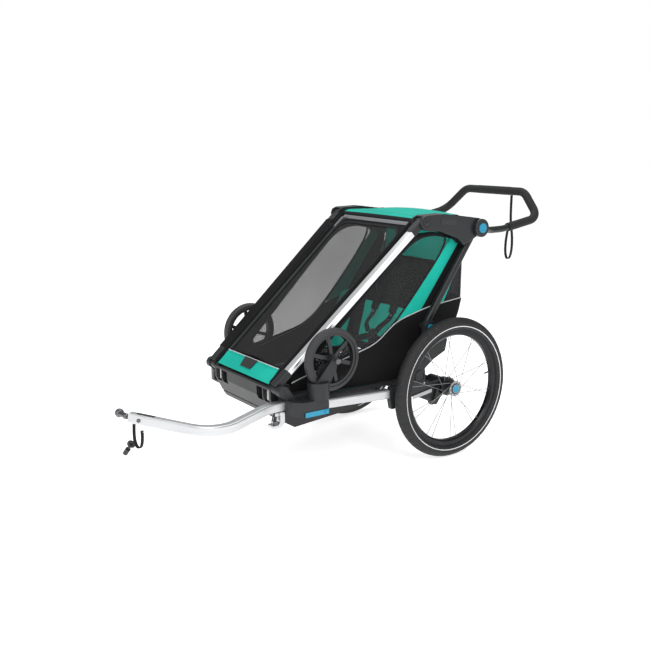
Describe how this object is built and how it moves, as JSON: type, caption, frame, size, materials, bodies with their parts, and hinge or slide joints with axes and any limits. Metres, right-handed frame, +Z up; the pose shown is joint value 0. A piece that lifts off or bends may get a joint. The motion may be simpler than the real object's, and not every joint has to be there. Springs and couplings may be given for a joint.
{
  "type": "child bicycle trailer",
  "caption": "Folding one-seat child bicycle trailer: fabric cabin on an aluminium frame, spoked side wheels, stowed stroller wheels, push handle and side hitch arm.",
  "frame": {"origin": "on the ground, under the middle of the whole object", "axes": "+Z up, -Y forward towards the bicycle, +X to the trailer's left, X = 0 the cabin's plane of symmetry"},
  "size_m": [0.652, 1.642, 0.9246],
  "materials": {
    "tyre_rubber": "matt tread rubber",
    "rim_black": "satin black anodised",
    "spoke_steel": "bright drawn wire",
    "black_plastic": "fine moulded grain",
    "blue_plastic": "smooth satin",
    "silver_aluminium": "satin anodised extrusion",
    "black_tube": "black powder coat",
    "steel": "zinc plated",
    "grip_foam": "closed-cell foam",
    "grey_tub": "thermoformed sheet",
    "reflector": "clear prismatic",
    "black_fabric": "coated woven polyester",
    "green_fabric": "coated woven polyester",
    "clear_film": "tinted flexible film"
  },
  "bodies": {
    "chassis": {"lower_rails": "silver_aluminium", "axle_beam": "black_tube", "wheel_axles": "steel", "rear_brackets": "black_plastic", "rear_pivot_pins": "steel", "front_housings": "black_plastic", "front_bumper": "black_plastic", "front_reflectors": "reflector", "nose_pivot_pins": "steel", "suspension_links": "steel", "floor_tub": "grey_tub", "seat_base": "black_fabric", "seat_back": "black_fabric", "harness": "black_fabric", "side_panels": "black_fabric", "side_windows": "clear_film", "rear_panel": "black_fabric"},
    "front_frame": {"front_tubes": "silver_aluminium", "tube_knuckles": "black_plastic", "front_cover": "black_fabric", "front_window": "clear_film"},
    "upper_frame": {"crown_casings": "black_plastic", "crown_pivot_pins": "steel", "roof_panel": "green_fabric", "roof_cross_tubes": "black_tube"},
    "rear_frame": {"rear_tubes": "black_tube"},
    "handlebar": {"handlebar_tube": "black_tube", "handlebar_grip": "grip_foam", "handlebar_hubs": "black_plastic", "wrist_strap": "black_fabric"},
    "parking_brake": {"brake_bar": "black_plastic"},
    "hitch": {"hitch_arm": "silver_aluminium", "hitch_nose": "black_plastic", "hitch_ball": "steel", "hitch_clamp": "silver_aluminium", "hitch_strap": "black_fabric", "hitch_pin": "black_plastic"},
    "hitch_latch": {"hitch_latch": "black_plastic"},
    "wheel_left": {"tyre_left": "tyre_rubber", "rim_left": "rim_black", "spokes_left": "spoke_steel", "hub_left": "black_plastic"},
    "hub_button_left": {"hub_button_left": "blue_plastic"},
    "fold_button_left": {"fold_button_left": "blue_plastic"},
    "slide_lock_left": {"slide_lock_left": "blue_plastic"},
    "handle_button_left": {"handle_button_left": "blue_plastic"},
    "stroller_fork_left": {"stroller_fork_left": "black_plastic"},
    "stroller_wheel_left": {"stroller_wheel_left": "black_plastic", "stroller_tyre_left": "tyre_rubber"},
    "wheel_right": {"tyre_right": "tyre_rubber", "rim_right": "rim_black", "spokes_right": "spoke_steel", "hub_right": "black_plastic"},
    "hub_button_right": {"hub_button_right": "blue_plastic"},
    "fold_button_right": {"fold_button_right": "blue_plastic"},
    "slide_lock_right": {"slide_lock_right": "blue_plastic"},
    "handle_button_right": {"handle_button_right": "blue_plastic"},
    "stroller_fork_right": {"stroller_fork_right": "black_plastic"},
    "stroller_wheel_right": {"stroller_wheel_right": "black_plastic", "stroller_tyre_right": "tyre_rubber"}
  },
  "joints": [
    {"name": "fold", "type": "hinge", "parent": "chassis", "child": "front_frame", "pos_m": [0, -0.33775, 0.327], "axis": [1, 0, 0], "range_deg": [-25, 0], "deforming": ["seat_back", "harness", "side_panels", "side_windows", "rear_panel"]},
    {"name": "crown_pivot", "type": "hinge", "parent": "front_frame", "child": "upper_frame", "pos_m": [0, 0.22325, 0.828], "axis": [1, 0, 0], "range_deg": [-0.5, 42]},
    {"name": "rear_pivot", "type": "hinge", "parent": "chassis", "child": "rear_frame", "pos_m": [0, 0.24325, 0.47], "axis": [1, 0, 0], "range_deg": [-39, 0.5]},
    {"name": "handlebar_tilt", "type": "hinge", "parent": "upper_frame", "child": "handlebar", "pos_m": [0, 0.47125, 0.799], "axis": [1, 0, 0], "range_deg": [-75, 55]},
    {"name": "brake_pedal", "type": "hinge", "parent": "chassis", "child": "parking_brake", "pos_m": [0, 0.27125, 0.2], "axis": [1, 0, 0], "range_deg": [-9, 0]},
    {"name": "hitch_slide", "type": "slide", "parent": "chassis", "child": "hitch", "axis": [0, -1, 0], "range_m": [0, 0.05]},
    {"name": "hitch_latch_turn", "type": "hinge", "parent": "hitch", "child": "hitch_latch", "pos_m": [0.22, -0.35675, 0.255], "axis": [1, 0, 0], "range_deg": [-60, 0], "stiffness_Nm_per_rad": 0.05},
    {"name": "wheel_spin_left", "type": "hinge", "parent": "chassis", "child": "wheel_left", "pos_m": [0.3, 0.32125, 0.25], "axis": [1, 0, 0], "continuous": true},
    {"name": "hub_button_press_left", "type": "slide", "parent": "chassis", "child": "hub_button_left", "axis": [-1, 0, 0], "range_m": [0, 0.003], "stiffness_N_per_m": 400},
    {"name": "fold_button_press_left", "type": "slide", "parent": "chassis", "child": "fold_button_left", "axis": [-1, 0, 0], "range_m": [0, 0.002], "stiffness_N_per_m": 400},
    {"name": "slide_lock_pull_left", "type": "slide", "parent": "chassis", "child": "slide_lock_left", "axis": [0, -1, 0], "range_m": [0, 0.01], "stiffness_N_per_m": 300},
    {"name": "handle_button_press_left", "type": "slide", "parent": "handlebar", "child": "handle_button_left", "axis": [-1, 0, 0], "range_m": [0, 0.003], "stiffness_N_per_m": 400},
    {"name": "stroller_lift_left", "type": "slide", "parent": "chassis", "child": "stroller_fork_left", "axis": [0, 0, 1], "range_m": [0, 0.04]},
    {"name": "stroller_spin_left", "type": "hinge", "parent": "stroller_fork_left", "child": "stroller_wheel_left", "pos_m": [0.262, -0.16775, 0.415], "axis": [1, 0, 0], "continuous": true},
    {"name": "wheel_spin_right", "type": "hinge", "parent": "chassis", "child": "wheel_right", "pos_m": [-0.3, 0.32125, 0.25], "axis": [1, 0, 0], "continuous": true},
    {"name": "hub_button_press_right", "type": "slide", "parent": "chassis", "child": "hub_button_right", "axis": [1, 0, 0], "range_m": [0, 0.003], "stiffness_N_per_m": 400},
    {"name": "fold_button_press_right", "type": "slide", "parent": "chassis", "child": "fold_button_right", "axis": [1, 0, 0], "range_m": [0, 0.002], "stiffness_N_per_m": 400},
    {"name": "slide_lock_pull_right", "type": "slide", "parent": "chassis", "child": "slide_lock_right", "axis": [0, -1, 0], "range_m": [0, 0.01], "stiffness_N_per_m": 300},
    {"name": "handle_button_press_right", "type": "slide", "parent": "handlebar", "child": "handle_button_right", "axis": [1, 0, 0], "range_m": [0, 0.003], "stiffness_N_per_m": 400},
    {"name": "stroller_lift_right", "type": "slide", "parent": "chassis", "child": "stroller_fork_right", "axis": [0, 0, 1], "range_m": [0, 0.04]},
    {"name": "stroller_spin_right", "type": "hinge", "parent": "stroller_fork_right", "child": "stroller_wheel_right", "pos_m": [-0.262, -0.16775, 0.415], "axis": [1, 0, 0], "continuous": true}
  ],
  "couplings": [
    {"joint": "crown_pivot", "follows": "fold", "ratio": -1.6706},
    {"joint": "rear_pivot", "follows": "fold", "ratio": 1.5448}
  ]
}
